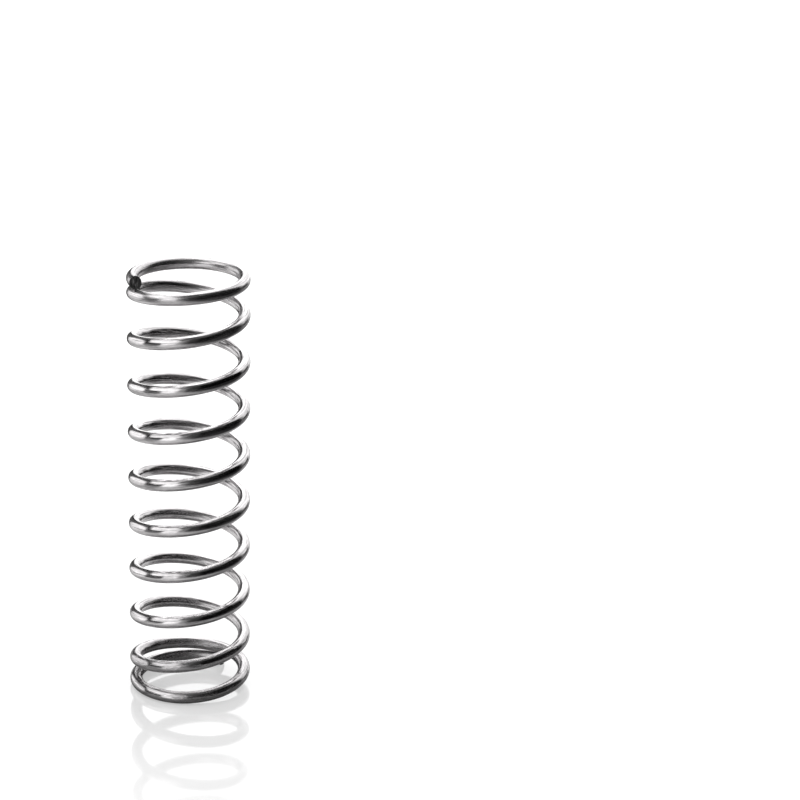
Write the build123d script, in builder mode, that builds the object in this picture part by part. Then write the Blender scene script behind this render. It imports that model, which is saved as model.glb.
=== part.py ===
from build123d import *
import math
import os

# Compression spring of round wire, wound right-handed, with closed ends that are not ground.
# It stands on the flat of its lowest turn. The coil axis is Z and the floor is Z = 0.
# Lengths are in millimetres and angles in degrees.

# Driving dimensions
wire_diameter = 1.0
outside_diameter = 10.0
free_length = 35.7
total_turns = 10.405

# Where the wire starts, seen from above and counted from +X towards +Y
lower_tip_angle = 54.5

# Hairline left where a tip lies against the next turn
tip_clearance = 0.02

# Lower end: the first turn lies flat, climbs onto its own tip, then opens to the full pitch
step_up_arc = 168.0
opening_arc = 122.0

# Upper end: the pitch dies away evenly over this arc, and the rest of the last turn is flat
closing_arc = 350.0

# The guide curve of the wire passes through this many points in each turn
points_per_turn = 18

wire_radius = wire_diameter / 2
coil_radius = (outside_diameter - wire_diameter) / 2
total_arc = 360 * total_turns

# Two turns that touch are this far apart, centre to centre
closed_rise = wire_diameter + tip_clearance
closed_pitch = closed_rise / 360

lowest_centre = wire_radius
highest_centre = free_length - wire_radius

# Places along the winding, in degrees turned since the lower tip
step_start = 360 - step_up_arc
step_end = 360
opening_end = step_end + opening_arc
upper_contact = total_arc - 360


def full_pitch():
    """Rise in each degree of the open turns.

    The open turns must bring the wire to the flat of the last turn, and the wire must pass
    under the upper tip one closed rise below it. Together these give a quadratic in the
    square root of the pitch.
    """
    climb = highest_centre - lowest_centre - closed_rise - closed_pitch * opening_arc / 2
    arc = upper_contact - opening_end + opening_arc / 2 - closing_arc / 2
    tip_term = math.sqrt(2 * closing_arc * closed_rise)
    root = (math.sqrt(tip_term ** 2 + 4 * arc * climb) - tip_term) / (2 * arc)
    return root ** 2


open_pitch = full_pitch()

# The pitch starts to die away at closing_start and reaches zero at closing_end
closing_end = upper_contact + math.sqrt(2 * closing_arc * closed_rise / open_pitch)
closing_start = closing_end - closing_arc


def step_height(turned):
    """Smooth step from the flat first turn onto the tip, ending parallel to the closed turns."""
    t = (turned - step_start) / step_up_arc
    rise = closed_rise * t * t * (3 - 2 * t)
    return rise + closed_pitch * step_up_arc * t * t * (t - 1)


def wire_height(turned):
    """Height of the wire's centre after this many degrees of winding."""
    if turned <= step_start:
        return lowest_centre
    if turned <= step_end:
        return lowest_centre + step_height(turned)
    if turned >= closing_end:
        return highest_centre
    if turned >= closing_start:
        left = closing_end - turned
        return highest_centre - open_pitch * left ** 2 / (2 * closing_arc)
    opened = min(turned, opening_end) - step_end
    gain = (open_pitch - closed_pitch) * opened ** 2 / (2 * opening_arc)
    height = lowest_centre + closed_rise + closed_pitch * opened + gain
    return height + open_pitch * max(turned - opening_end, 0)


def wire_centre(turned):
    """Point on the wire's centre line after this many degrees of winding."""
    angle = math.radians(lower_tip_angle + turned)
    return (coil_radius * math.cos(angle), coil_radius * math.sin(angle), wire_height(turned))


def wire_route():
    """Evenly wound points from the lower tip to the upper tip."""
    spans = math.ceil(total_turns * points_per_turn)
    return [wire_centre(total_arc * step / spans) for step in range(spans + 1)]


# The wire is a round section swept along the coil, cut square at both tips
with BuildPart() as coil_spring:
    with BuildLine():
        centre_line = Spline(*wire_route())
    with BuildSketch(centre_line ^ 0):
        Circle(wire_radius)
    sweep(path=centre_line, is_frenet=True)

coil_spring.part.label = "coil_spring"

os.makedirs("parts", exist_ok=True)
export_step(coil_spring.part, "parts/coil_spring.step")

print("pitch of the open turns", round(open_pitch * 360, 3), "mm")
wire_volume = math.pi * wire_radius ** 2 * centre_line.length
print("wire length", round(centre_line.length, 1), "mm")
print("volume over section times length", round(coil_spring.part.volume / wire_volume, 4))
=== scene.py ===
import math

import bpy
from mathutils import Matrix, Vector, noise


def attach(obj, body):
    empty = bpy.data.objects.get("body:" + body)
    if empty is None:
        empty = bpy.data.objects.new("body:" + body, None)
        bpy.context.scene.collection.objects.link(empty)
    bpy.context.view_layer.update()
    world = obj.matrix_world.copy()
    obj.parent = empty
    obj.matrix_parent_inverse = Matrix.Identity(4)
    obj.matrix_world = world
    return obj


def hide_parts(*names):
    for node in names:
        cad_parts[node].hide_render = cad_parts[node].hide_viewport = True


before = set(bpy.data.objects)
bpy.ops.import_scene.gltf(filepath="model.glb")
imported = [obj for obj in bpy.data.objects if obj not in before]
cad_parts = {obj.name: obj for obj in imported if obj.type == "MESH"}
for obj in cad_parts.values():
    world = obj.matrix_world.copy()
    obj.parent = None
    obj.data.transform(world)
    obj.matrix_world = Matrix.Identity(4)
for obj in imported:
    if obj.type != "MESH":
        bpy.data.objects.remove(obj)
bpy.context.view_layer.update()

# The coil spring
# One length of drawn steel wire, wound cold and right-handed on a mandrel. The first and last
# turns are closed down flat and not ground, and both tips are left as the cutter sheared them.

MM = 0.001
wire_radius = 0.5 * MM
coil_radius = 4.5 * MM
free_length = 35.7 * MM

# Degrees of winding from tip to tip, and where the wire starts, from +X towards +Y
total_arc = 360 * 10.405
lower_tip_angle = 54.5

# Two turns that touch are a wire and a hairline apart, centre to centre
closed_rise = 1.02 * MM
closed_pitch = closed_rise / 360

# The lower end turn climbs onto its own tip and opens, and the upper end closes evenly
step_up_arc = 168.0
opening_arc = 122.0
closing_arc = 350.0
step_start = 360 - step_up_arc
opening_end = 360 + opening_arc
upper_contact = total_arc - 360
lowest_centre = wire_radius
highest_centre = free_length - wire_radius


def full_pitch():
    """Rise in each degree of the open turns, so that the wire meets the flat of the last turn."""
    climb = highest_centre - lowest_centre - closed_rise - closed_pitch * opening_arc / 2
    arc = upper_contact - opening_end + opening_arc / 2 - closing_arc / 2
    tip_term = math.sqrt(2 * closing_arc * closed_rise)
    return ((math.sqrt(tip_term ** 2 + 4 * arc * climb) - tip_term) / (2 * arc)) ** 2


open_pitch = full_pitch()
closing_end = upper_contact + math.sqrt(2 * closing_arc * closed_rise / open_pitch)
closing_start = closing_end - closing_arc


def wire_height(turned):
    """Height of the wire's centre after this many degrees of winding."""
    if turned <= step_start:
        return lowest_centre
    if turned <= 360:
        t = (turned - step_start) / step_up_arc
        rise = closed_rise * t * t * (3 - 2 * t)
        return lowest_centre + rise + closed_pitch * step_up_arc * t * t * (t - 1)
    if turned >= closing_end:
        return highest_centre
    if turned >= closing_start:
        left = closing_end - turned
        return highest_centre - open_pitch * left ** 2 / (2 * closing_arc)
    opened = min(turned, opening_end) - 360
    gain = (open_pitch - closed_pitch) * opened ** 2 / (2 * opening_arc)
    height = lowest_centre + closed_rise + closed_pitch * opened + gain
    return height + open_pitch * max(turned - opening_end, 0)


def wire_centre(turned):
    """Point on the wire's centre line after this many degrees of winding."""
    angle = math.radians(lower_tip_angle + turned)
    east, north = coil_radius * math.cos(angle), coil_radius * math.sin(angle)
    return Vector((east, north, wire_height(turned)))


# The path that the wire is bent to, with a point for about every three degrees
bend_arc = 3
bends = round(total_arc / bend_arc)
route = [wire_centre(total_arc * i / bends) for i in range(bends + 1)]
wire_length = sum((b - a).length for a, b in zip(route, route[1:]))

path_data = bpy.data.curves.new("winding_path", "CURVE")
path_data.dimensions = "3D"
path_data.twist_mode = "Z_UP"
winding = path_data.splines.new("POLY")
winding.points.add(len(route) - 1)
for point, place in zip(winding.points, route):
    point.co = (*place, 1)
path = bpy.data.objects.new("winding_path", path_data)
bpy.context.collection.objects.link(path)

# A short piece of straight wire, repeated to the full length. Along it Z runs from the lower tip
# to the upper, and after bending X points to the coil's axis and Y up.
sides = 36
short = wire_length / bends
bpy.ops.object.select_all(action="DESELECT")
bpy.ops.mesh.primitive_cylinder_add(
    vertices=sides,
    radius=wire_radius,
    depth=short,
    end_fill_type="NOTHING",
    location=(0, 0, short / 2),
)
wire = bpy.context.object
wire.name = "wire_coil"
wire.data.name = "wire_coil"
bpy.ops.object.transform_apply(location=True, rotation=False, scale=False)
repeat = wire.modifiers.new("repeat", "ARRAY")
repeat.count = bends
repeat.use_relative_offset = False
repeat.use_constant_offset = True
repeat.constant_offset_displace = (0, 0, short)
repeat.use_merge_vertices = True
repeat.merge_threshold = short / 20
bpy.ops.object.modifier_apply(modifier=repeat.name)

# At each tip the cutter squeezed the wire, sheared a bright strip on the inner side, broke the
# rest off in a torn face and left a small lip underneath

# Rings counted from the tip, with how much wider and taller each was squeezed
squeeze = ((2, 1.01, 1.02), (1, 1.03, 1.06), (0, 1.06, 1.11))
edge_width = 0.035 * MM
edge_depth = 0.03 * MM
face_rings = 6
face_ring_width = 0.065 * MM
face_slant = 0.08 * MM
lip_reach = 0.09 * MM

# How deep the tear goes, and in shares of it the grooves, the rolled rim and the sheared strip
tear_depth = 0.06 * MM
groove_depth, roll_depth, sheared_height = 0.9, 1.2, 0.5
grain_across, grain_upright = 7000, 2500

# Places across the face, in wire radii towards the coil's axis: where the sheared strip starts and
# how far on it is whole, where it rolls off, and each groove's place and width
sheared_start, sheared_blend = 0.30, 0.25
rolled_start = 0.65
tear_grooves = ((-0.42, 0.11), (-0.02, 0.13))


def pick(test):
    """Selects the points of the wire that pass a test, in edit mode."""
    bpy.ops.mesh.select_all(action="DESELECT")
    bpy.ops.object.mode_set(mode="OBJECT")
    for vertex in wire.data.vertices:
        vertex.select = test(vertex.co)
    bpy.ops.object.mode_set(mode="EDIT")


def torn_relief(x, y, seed):
    """How far the end face stands out at a place on it, x towards the coil's axis and y up."""
    across, up = x / wire_radius, y / wire_radius
    reach = min(math.hypot(across, up), 1)
    inside = 1 - reach ** 6
    sheared = min(max((across - sheared_start) / sheared_blend, 0), 1)
    break_grain = noise.fractal(Vector((x * grain_across, y * grain_upright, seed)), 0.8, 2.0, 3)
    grooves = sum(math.exp(-((across - place) / width) ** 2) for place, width in tear_grooves)
    tear = (break_grain - groove_depth * grooves * (1 - up * up)) * (1 - sheared)
    rolled = roll_depth * max(across - rolled_start, 0)
    relief = tear_depth * (tear * inside - rolled + sheared_height * sheared)
    lip = lip_reach * max(-up, 0) ** 4
    return relief + lip - face_slant * up


def crop_tip(end, outwards):
    """Squeezes, fills and breaks one tip of the straight wire, where outwards is 1 or -1."""
    for ring, wide, tall in squeeze:
        height = end - outwards * ring * short
        pick(lambda co: abs(co.z - height) < short / 4)
        bpy.ops.transform.resize(value=(wide, tall, 1), center_override=(0, 0, height))
    bpy.ops.mesh.edge_face_add()
    bpy.ops.mesh.inset(thickness=edge_width, depth=edge_depth)
    for ring in range(face_rings):
        bpy.ops.mesh.inset(thickness=face_ring_width, depth=0)
    bpy.ops.mesh.poke()
    bpy.ops.object.mode_set(mode="OBJECT")
    for vertex in wire.data.vertices:
        vertex.co.y = max(vertex.co.y, -wire_radius)
        if (vertex.co.z - end) * outwards > -short / 4:
            vertex.co.z += outwards * torn_relief(vertex.co.x, vertex.co.y, end / MM)
    bpy.ops.object.mode_set(mode="EDIT")


bpy.ops.object.mode_set(mode="EDIT")
bpy.ops.mesh.select_mode(type="VERT")
crop_tip(wire_length, 1)
crop_tip(0, -1)
bpy.ops.mesh.select_all(action="DESELECT")
bpy.ops.object.mode_set(mode="OBJECT")

# The end faces, and each point's place on the straight wire, are kept for the materials before
# the wire is bent
torn_faces = {face.index for face in wire.data.polygons if abs(face.normal.z) > 0.5}
straight = wire.data.attributes.new("straight_wire", "FLOAT_VECTOR", "POINT")
for vertex in wire.data.vertices:
    straight.data[vertex.index].vector = vertex.co

bend = wire.modifiers.new("wind", "CURVE")
bend.object = path
bend.deform_axis = "POS_Z"
bpy.ops.object.modifier_apply(modifier=bend.name)
bpy.data.objects.remove(path)

crisp_edge = math.radians(40)
bpy.ops.object.shade_smooth_by_angle(angle=crisp_edge)

# The wire's finish
# Bright drawn steel. Fine die lines run along the wire, the side wound against the mandrel is
# duller with a paler pressed stripe, the lowest turns are scuffed and darkened by painted shade,
# and the upper end is dulled.
steel = bpy.data.materials.new("drawn_steel_wire")
steel.use_nodes = True
nodes, links = steel.node_tree.nodes, steel.node_tree.links
shader = nodes["Principled BSDF"]
shader.inputs["Metallic"].default_value = 1.0
shader.inputs["Specular Tint"].default_value = (0.8, 0.8, 0.8, 1)
on_wire = nodes.new("ShaderNodeAttribute")
on_wire.attribute_name = "straight_wire"
section = nodes.new("ShaderNodeSeparateXYZ")
links.new(on_wire.outputs["Vector"], section.inputs[0])
inwards, upwards, from_lower_tip = section.outputs


def stretched_noise(scale, stretch, detail):
    """Noise on the straight wire, finer or coarser in each direction by the stretch."""
    stretched = nodes.new("ShaderNodeVectorMath")
    stretched.operation = "MULTIPLY"
    stretched.inputs[1].default_value = stretch
    links.new(on_wire.outputs["Vector"], stretched.inputs[0])
    texture = nodes.new("ShaderNodeTexNoise")
    texture.inputs["Scale"].default_value = scale
    texture.inputs["Detail"].default_value = detail
    links.new(stretched.outputs[0], texture.inputs["Vector"])
    return texture.outputs["Fac"]


def remap(value, source, result, kind="LINEAR"):
    """Change of one range of values into another, held at both ends."""
    node = nodes.new("ShaderNodeMapRange")
    node.interpolation_type = kind
    links.new(value, node.inputs["Value"])
    names = ("From Min", "From Max", "To Min", "To Max")
    for name, number in zip(names, (*source, *result)):
        node.inputs[name].default_value = number
    return node.outputs["Result"]


def combine(kind, first, second):
    """One sum, product or comparison of node outputs or plain numbers."""
    node = nodes.new("ShaderNodeMath")
    node.operation = kind
    for socket, value in zip(node.inputs, (first, second)):
        if isinstance(value, (int, float)):
            socket.default_value = value
        else:
            links.new(value, socket)
    return node.outputs[0]


die_lines = stretched_noise(5500, (1, 1, 0.05), 3)
smears = stretched_noise(900, (1, 1, 0.35), 2)
grain = stretched_noise(9000, (1, 1, 0.3), 2)
scores = remap(stretched_noise(13000, (1, 1, 0.035), 2), (0.56, 0.66), (0, 1))

# The mandrel pressed its stripe a little below the middle of the inner side
mandrel_side = remap(inwards, (0, 0.45 * MM), (0, 1))
pressed_inwards = combine("MULTIPLY", inwards, 0.974)
pressed_downwards = combine("MULTIPLY", upwards, 0.225)
pressed = combine("SUBTRACT", pressed_inwards, pressed_downwards)
mandrel_stripe = remap(pressed, (0.46 * MM, 0.48 * MM), (0, 1))

# Wear of the lowest turns, whose mask also paints them darker as shade, and of the last turn and a
# half
low_turn_wear_and_shade = remap(from_lower_tip, (45 * MM, 70 * MM), (1, 0))
rubbed = remap(stretched_noise(2400, (1, 1, 0.3), 4), (0.53, 0.61), (0, 1))
scuffs = combine("MULTIPLY", low_turn_wear_and_shade, rubbed)
upper_wear = remap(from_lower_tip, (wire_length - 55 * MM, wire_length - 35 * MM), (0, 1))

# Nicks lie in a few of the cells of an even scatter
nick_cells = nodes.new("ShaderNodeTexVoronoi")
nick_cells.inputs["Scale"].default_value = 1100
links.new(on_wire.outputs["Vector"], nick_cells.inputs["Vector"])
nick_pick = nodes.new("ShaderNodeSeparateColor")
links.new(nick_cells.outputs["Color"], nick_pick.inputs[0])
chosen = combine("GREATER_THAN", nick_pick.outputs["Red"], 0.86)
nicks = combine("MULTIPLY", remap(nick_cells.outputs["Distance"], (0.05, 0.11), (1, 0)), chosen)

# How pale each mark leaves the steel, as a factor where the mark is full. On the lowest turns the
# factor is painted shade, for the shaded table that they mirror.
shades = (
    (scores, 0.48),
    (nicks, 0.25),
    (mandrel_side, 0.88),
    (mandrel_stripe, 1.7),
    (low_turn_wear_and_shade, 0.82),
)
palest = 0.95
red_tint, green_tint = 1.014, 0.988
pale = remap(die_lines, (0.3, 0.7), (0.42, 0.80))
for mark, shade in shades:
    pale = combine("MULTIPLY", pale, remap(mark, (0, 1), (1, shade)))
pale = combine("MULTIPLY", pale, remap(grain, (0.35, 0.65), (0.9, 1.08)))
pale = combine("MINIMUM", pale, palest)
colour = nodes.new("ShaderNodeCombineColor")
links.new(combine("MULTIPLY", pale, red_tint), colour.inputs["Red"])
links.new(combine("MULTIPLY", pale, green_tint), colour.inputs["Green"])
links.new(pale, colour.inputs["Blue"])
links.new(colour.outputs[0], shader.inputs["Base Color"])

# How much each mark dulls the steel
dullings = (
    (mandrel_side, 0.06),
    (mandrel_stripe, 0.06),
    (low_turn_wear_and_shade, 0.02),
    (scuffs, 0.18),
    (upper_wear, 0.09),
    (nicks, 0.25),
)
dullness = remap(die_lines, (0.3, 0.7), (0.06, 0.15))
dullness = combine("ADD", dullness, remap(smears, (0.4, 0.7), (0, 0.06)))
for mark, amount in dullings:
    dullness = combine("ADD", dullness, combine("MULTIPLY", mark, amount))
links.new(dullness, shader.inputs["Roughness"])

# How deep each mark lies, beside the die lines
depths = ((nicks, 3), (scores, 0.3), (scuffs, 0.8))
surface = die_lines
for mark, depth in depths:
    surface = combine("SUBTRACT", surface, combine("MULTIPLY", mark, depth))
relief = nodes.new("ShaderNodeBump")
relief.inputs["Strength"].default_value = 1.0
relief.inputs["Distance"].default_value = 0.012 * MM
links.new(surface, relief.inputs["Height"])
links.new(relief.outputs[0], shader.inputs["Normal"])

# The broken faces at the tips
# Bare steel, as the cutter left it: dark and torn, with the grain of the break upright.
torn = bpy.data.materials.new("cropped_steel")
torn.use_nodes = True
nodes, links = torn.node_tree.nodes, torn.node_tree.links
shader = nodes["Principled BSDF"]
shader.inputs["Metallic"].default_value = 1.0
on_wire = nodes.new("ShaderNodeAttribute")
on_wire.attribute_name = "straight_wire"


def grey(value):
    """A grey as light as the value."""
    node = nodes.new("ShaderNodeCombineColor")
    for channel in ("Red", "Green", "Blue"):
        links.new(value, node.inputs[channel])
    return node.outputs[0]


tears = stretched_noise(7000, (1, 0.25, 0.25), 4)
links.new(grey(remap(tears, (0.35, 0.65), (0.05, 0.32))), shader.inputs["Base Color"])
links.new(remap(tears, (0.35, 0.65), (0.6, 0.4)), shader.inputs["Roughness"])
relief = nodes.new("ShaderNodeBump")
relief.inputs["Strength"].default_value = 0.8
relief.inputs["Distance"].default_value = 0.03 * MM
links.new(tears, relief.inputs["Height"])
links.new(relief.outputs[0], shader.inputs["Normal"])

wire.data.materials.clear()
wire.data.materials.append(steel)
wire.data.materials.append(torn)
for face in wire.data.polygons:
    face.material_index = 1 if face.index in torn_faces else 0

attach(wire, "root")
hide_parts("coil_spring")

# The table
# A sheet of glossy white acrylic that the spring stands on, so white that it fades into the
# background, with the spring mirrored faintly in it. It is stage, so it isn't part of the spring.

table_size = 6
bpy.ops.object.select_all(action="DESELECT")
bpy.ops.mesh.primitive_plane_add(size=table_size, location=(0, 0, 0))
table = bpy.context.object
table.name = "white_table"
acrylic = bpy.data.materials.new("white_acrylic")
acrylic.use_nodes = True
nodes, links = acrylic.node_tree.nodes, acrylic.node_tree.links
shader = nodes["Principled BSDF"]
shader.inputs["Roughness"].default_value = 0.06
shader.inputs["IOR"].default_value = 1.6
shader.inputs["Emission Color"].default_value = (1, 1, 1, 1)
ray = nodes.new("ShaderNodeLightPath")
on_table = nodes.new("ShaderNodeTexCoord").outputs["Object"]
bearing = nodes.new("ShaderNodeVectorMath")
bearing.operation = "NORMALIZE"
links.new(on_table, bearing.inputs[0])
length = nodes.new("ShaderNodeVectorMath")
length.operation = "LENGTH"
links.new(on_table, length.inputs[0])
distance = length.outputs["Value"]


def part_towards(vector, azimuth, elevation=0):
    """How much of a vector points this way, in degrees from +X towards +Y and up."""
    facing = nodes.new("ShaderNodeVectorMath")
    facing.operation = "DOT_PRODUCT"
    links.new(vector, facing.inputs[0])
    turn, lift = math.radians(azimuth), math.radians(elevation)
    level = math.cos(lift)
    facing.inputs[1].default_value = (
        math.cos(turn) * level, math.sin(turn) * level, math.sin(lift)
    )
    return facing.outputs["Value"]


def shaded_way(azimuth, half_width, near, far, depth):
    """Where the table lies in front of a dark part of the room, as a factor from 1 to 1 - depth."""
    side_blur = 3
    outer = math.cos(math.radians(half_width + side_blur))
    inner = math.cos(math.radians(half_width - side_blur))
    across = remap(part_towards(bearing.outputs[0], azimuth), (outer, inner), (0, depth))
    along = remap(distance, (near, far), (0, 1))
    return combine("SUBTRACT", 1, combine("MULTIPLY", across, along))


# What the wire mirrors of the table: it darkens towards the open side of the room, in front of
# two other dark parts, and in the coil's own shade
open_side = 345
towards_open_side = part_towards(on_table, open_side)
in_wire = remap(towards_open_side, (-12 * MM, 44 * MM), (1, 0.05), "SMOOTHSTEP")
in_wire = combine("MULTIPLY", ray.outputs["Is Glossy Ray"], in_wire)
in_wire = combine("MULTIPLY", in_wire, shaded_way(109, 12, 30 * MM, 90 * MM, 0.9))
in_wire = combine("MULTIPLY", in_wire, shaded_way(196, 15, 10 * MM, 50 * MM, 0.5))
in_wire = combine("MULTIPLY", in_wire, remap(distance, (4 * MM, 18 * MM), (0.2, 1)))

# The white of the sheet, and the glow that keeps it white in the picture. The glow is weaker close
# around the spring, which paints a shade on the table there.
sheet_white = 0.45
mirrored_glow = 0.264
direct = combine("SUBTRACT", 1, ray.outputs["Is Glossy Ray"])
body = combine("MULTIPLY", combine("ADD", direct, in_wire), sheet_white)
links.new(grey(body), shader.inputs["Base Color"])
glow = combine("ADD", ray.outputs["Is Camera Ray"], ray.outputs["Is Transmission Ray"])
glow = combine("MULTIPLY", glow, remap(distance, (8 * MM, 24 * MM), (0.42, 0.53)))
glow = combine("ADD", glow, combine("MULTIPLY", in_wire, mirrored_glow))
links.new(glow, shader.inputs["Emission Strength"])
table.data.materials.append(acrylic)

# The room
# A white studio that lights the spring evenly. The wire mirrors its white walls, its grey ceiling,
# a round soft light that stands in a dark surround at the back left, a dark panel at the left, and
# the side towards the camera and the right, where the room is open and dark.

room = bpy.data.worlds.new("studio_room")
bpy.context.scene.world = room
room.use_nodes = True
nodes, links = room.node_tree.nodes, room.node_tree.links
nodes.clear()
direction = nodes.new("ShaderNodeTexCoord").outputs["Generated"]
axes = nodes.new("ShaderNodeSeparateXYZ")
links.new(direction, axes.inputs[0])
level_part = nodes.new("ShaderNodeCombineXYZ")
links.new(axes.outputs["X"], level_part.inputs["X"])
links.new(axes.outputs["Y"], level_part.inputs["Y"])
heading = nodes.new("ShaderNodeVectorMath")
heading.operation = "NORMALIZE"
links.new(level_part.outputs[0], heading.inputs[0])


def soft_step(value, low, high):
    """Smooth rise from 0 to 1 as the value goes from low to high."""
    return remap(value, (low, high), (0, 1), "SMOOTHSTEP")


def patch(azimuth, half_width, side_blur, low=-60, high=90, edge_blur=5):
    """Part of the room between two elevations, this wide on each side of an azimuth."""
    outer = math.cos(math.radians(half_width + side_blur))
    inner = math.cos(math.radians(half_width - side_blur))
    mask = soft_step(part_towards(heading.outputs[0], azimuth), outer, inner)
    for edge, blur in ((low, edge_blur), (high, -edge_blur)):
        if edge < 90:
            start = math.sin(math.radians(edge - blur))
            end = math.sin(math.radians(edge + blur))
            mask = combine("MULTIPLY", mask, soft_step(axes.outputs["Z"], start, end))
    return mask


def disc(azimuth, elevation, radius, blur):
    """Round part of the room, seen from the spring within this angle of a direction."""
    outer = math.cos(math.radians(radius + blur))
    inner = math.cos(math.radians(radius - blur))
    return soft_step(part_towards(direction, azimuth, elevation), outer, inner)


def paint(under, mask, tone):
    """Lays a grey tone over what is there, where the mask is 1."""
    mix = nodes.new("ShaderNodeMix")
    links.new(mask, mix.inputs["Factor"])
    if isinstance(under, float):
        mix.inputs["A"].default_value = under
    else:
        links.new(under, mix.inputs["A"])
    mix.inputs["B"].default_value = tone
    return mix.outputs["Result"]


# White walls, brightest straight behind the spring and least bright at the right
left_wall = 1.5
tone = paint(left_wall, patch(85, 39, 6), 1.7)
tone = paint(tone, patch(100, 24, 6), 2.2)
tone = paint(tone, patch(24, 26, 12), 1.3)

# Grey ceiling, at the right, over the camera and overhead
tone = paint(tone, patch(8, 30, 14, low=56, edge_blur=8), 0.5)
tone = paint(tone, patch(296, 48, 14, low=48), 0.22)
tone = paint(tone, disc(290, 62, 33, 4), 0.15)

# The dark surround at the back left, its rim, and the round soft light in it
tone = paint(tone, disc(146, 2, 39.5, 2), 0.02)
tone = paint(tone, disc(138, 0, 43.5, 1.5), 0)
tone = paint(tone, disc(138, 0, 38, 1.5), 0.13)
tone = paint(tone, disc(147, 3, 28, 2.5), 1.5)

# A dark panel at the left and the grey edge of the open side beyond it
tone = paint(tone, patch(197, 18, 3, high=23, edge_blur=3), 0.07)
tone = paint(tone, patch(256, 9, 7, high=50, edge_blur=8), 0.35)

# A low dark panel at the right, the open side, and the dark behind the camera
tone = paint(tone, patch(36, 12, 4, high=10), 0.02)
tone = paint(tone, patch(325, 60, 9, high=64, edge_blur=6), 0.002)
tone = paint(tone, patch(271, 9, 7, high=60, edge_blur=6), 0.06)

# Mirrors see the painted room, and all else sees plain white
light_path = nodes.new("ShaderNodeLightPath")
seen = nodes.new("ShaderNodeBackground")
seen.inputs["Color"].default_value = (1, 1, 1, 1)
mirrored = nodes.new("ShaderNodeBackground")
links.new(tone, mirrored.inputs["Color"])
glossy_mix = nodes.new("ShaderNodeMixShader")
links.new(light_path.outputs["Is Glossy Ray"], glossy_mix.inputs[0])
links.new(seen.outputs[0], glossy_mix.inputs[1])
links.new(mirrored.outputs[0], glossy_mix.inputs[2])
out = nodes.new("ShaderNodeOutputWorld")
links.new(glossy_mix.outputs[0], out.inputs["Surface"])

# The camera
# Eighteen degrees above the table, seen with a long lens as in the photograph. It is aimed past
# the spring, which stands in the left part of the picture, and rolled by a degree.

aim_to_right = 4.582
looking_down = 17.911
rolled_by = 1.171
camera_data = bpy.data.cameras.new("camera")
camera = bpy.data.objects.new("camera", camera_data)
bpy.context.collection.objects.link(camera)
camera.location = (0, -214.75 * MM, 94.43 * MM)
aim = Matrix.Rotation(math.radians(-aim_to_right), 3, "Z")
tilt = Matrix.Rotation(math.radians(90 - looking_down), 3, "X")
roll = Matrix.Rotation(math.radians(rolled_by), 3, "Z")
camera.rotation_euler = (aim @ tilt @ roll).to_euler()
camera_data.sensor_width = 36
camera_data.lens = 124.54
camera_data.clip_start = 0.005
camera_data.clip_end = 20
bpy.context.scene.camera = camera
bpy.context.scene.view_settings.view_transform = "Standard"
